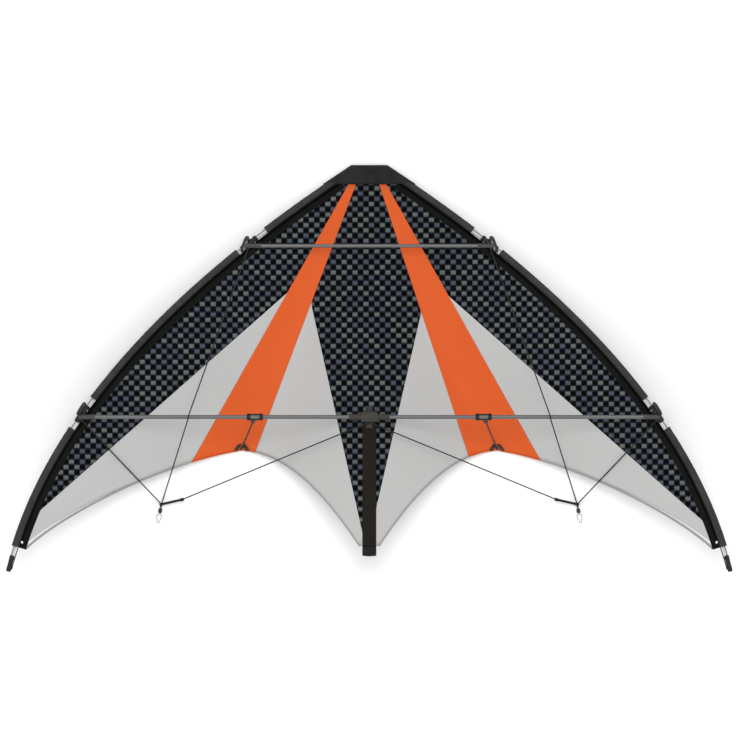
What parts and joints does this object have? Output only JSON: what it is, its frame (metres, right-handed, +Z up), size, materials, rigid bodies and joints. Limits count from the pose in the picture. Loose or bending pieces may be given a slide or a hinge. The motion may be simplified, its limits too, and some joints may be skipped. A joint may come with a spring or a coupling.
{
  "type": "stunt kite",
  "caption": "Delta stunt kite with a carbon-print, grey and orange sail on a fibre rod frame, rigged with its bridle, swivels and line clips.",
  "frame": {"origin": "on the floor, under the middle of the kite's bounding box as it lies on its back", "axes": "+X across the span to the right wing, +Y along the floor towards the nose, +Z up, out of the sail's face"},
  "size_m": [1.4484, 0.7926, 0.1955],
  "materials": {
    "carbon_cloth": "printed check, satin",
    "grey_cloth": "light grey, satin",
    "orange_cloth": "orange, satin",
    "sleeve_cloth": "black, soft sheen",
    "webbing": "black, woven",
    "keel_tape": "warm black, woven",
    "edge_rod": "pale grey pultruded glass fibre",
    "spreader_rod": "dark grey pultruded fibre",
    "vinyl": "black moulded vinyl",
    "centre_vinyl": "warm dark grey moulded vinyl",
    "bridle_line": "braided line",
    "steel": "bright steel"
  },
  "bodies": {
    "kite": {"nose_cover": "webbing", "tail_pocket": "webbing", "spine_rod": "spreader_rod", "upper_spreader": "spreader_rod", "centre_sail_panel": "carbon_cloth", "centre_fitting": "centre_vinyl", "keel_strip": "keel_tape", "left_leading_edge_rod": "edge_rod", "left_leading_edge_sleeve": "sleeve_cloth", "left_wing_tip_nock": "vinyl", "left_upper_edge_connector": "vinyl", "left_lower_edge_connector": "vinyl", "left_upper_stopper_ring": "vinyl", "left_lower_stopper_ring": "vinyl", "left_trailing_edge_foot": "vinyl", "left_inner_sail_panel": "grey_cloth", "left_outer_sail_panel": "grey_cloth", "left_stripe_panel": "orange_cloth", "left_tip_sail_panel": "carbon_cloth", "left_lower_spreader": "spreader_rod", "left_upper_bridle_leg": "bridle_line", "left_lower_bridle_leg": "bridle_line", "left_inner_bridle_leg": "bridle_line", "left_tow_loop": "bridle_line", "left_swivel": "steel", "right_leading_edge_rod": "edge_rod", "right_leading_edge_sleeve": "sleeve_cloth", "right_wing_tip_nock": "vinyl", "right_upper_edge_connector": "vinyl", "right_lower_edge_connector": "vinyl", "right_upper_stopper_ring": "vinyl", "right_lower_stopper_ring": "vinyl", "right_trailing_edge_foot": "vinyl", "right_inner_sail_panel": "grey_cloth", "right_outer_sail_panel": "grey_cloth", "right_stripe_panel": "orange_cloth", "right_tip_sail_panel": "carbon_cloth", "right_lower_spreader": "spreader_rod", "right_upper_bridle_leg": "bridle_line", "right_lower_bridle_leg": "bridle_line", "right_inner_bridle_leg": "bridle_line", "right_tow_loop": "bridle_line", "right_swivel": "steel"},
    "left_stand_off": {"left_stand_off_saddle": "vinyl", "left_stand_off_rod": "spreader_rod"},
    "left_clip": {"left_line_clip": "steel"},
    "right_stand_off": {"right_stand_off_saddle": "vinyl", "right_stand_off_rod": "spreader_rod"},
    "right_clip": {"right_line_clip": "steel"}
  },
  "joints": [
    {"name": "left_stand_off_swing", "type": "hinge", "parent": "kite", "child": "left_stand_off", "pos_m": [-0.2278, -0.09253, 0.13046], "axis": [-1, 0, 0], "range_deg": [0, 19]},
    {"name": "right_stand_off_swing", "type": "hinge", "parent": "kite", "child": "right_stand_off", "pos_m": [0.2278, -0.09253, 0.13046], "axis": [-1, 0, 0], "range_deg": [0, 19]},
    {"name": "left_clip_swivel", "type": "hinge", "parent": "kite", "child": "left_clip", "pos_m": [-0.4184, -0.31875, 0.0072], "axis": [-0.1822, -0.9833, 0], "continuous": true},
    {"name": "right_clip_swivel", "type": "hinge", "parent": "kite", "child": "right_clip", "pos_m": [0.4184, -0.31875, 0.0072], "axis": [0.1822, -0.9833, 0], "continuous": true}
  ]
}
